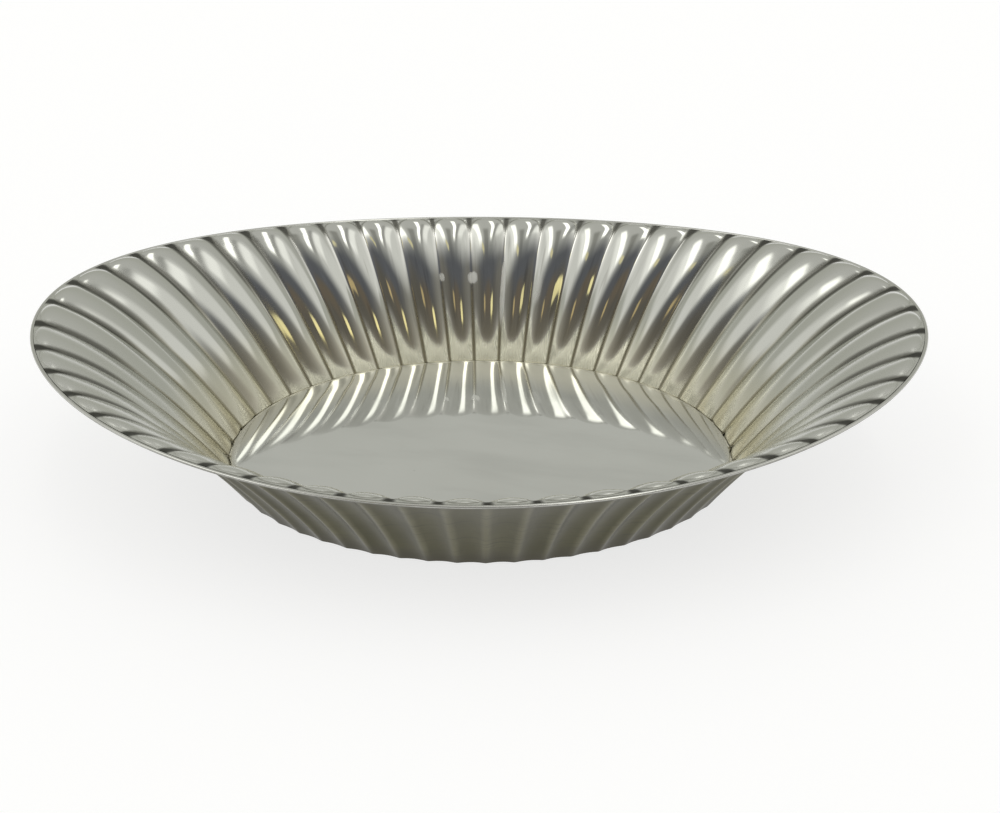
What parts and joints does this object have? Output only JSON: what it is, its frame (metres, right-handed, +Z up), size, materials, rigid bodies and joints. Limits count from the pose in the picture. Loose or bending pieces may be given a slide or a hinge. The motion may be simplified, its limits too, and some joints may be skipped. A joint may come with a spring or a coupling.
{
  "type": "fluted silver bowl",
  "caption": "Oval silver bowl with a flat floor and a flared, fluted wall that rises towards its ends, edged with a fine wire, for bread or fruit.",
  "frame": {"origin": "centre of the oval, on the plane that the bowl stands on", "axes": "+X along the long axis, +Y across, +Z up out of the bowl's mouth"},
  "size_m": [0.3, 0.1826, 0.0582],
  "materials": {
    "wall_silver": "polished silver inside, tarnished along the valleys and dull outside",
    "floor_silver": "polished silver with fine wear",
    "wire_silver": "bright worn silver"
  },
  "bodies": {
    "root": {"fluted_wall": "wall_silver", "floor_plate": "floor_silver", "rim_wire": "wire_silver"}
  },
  "joints": []
}
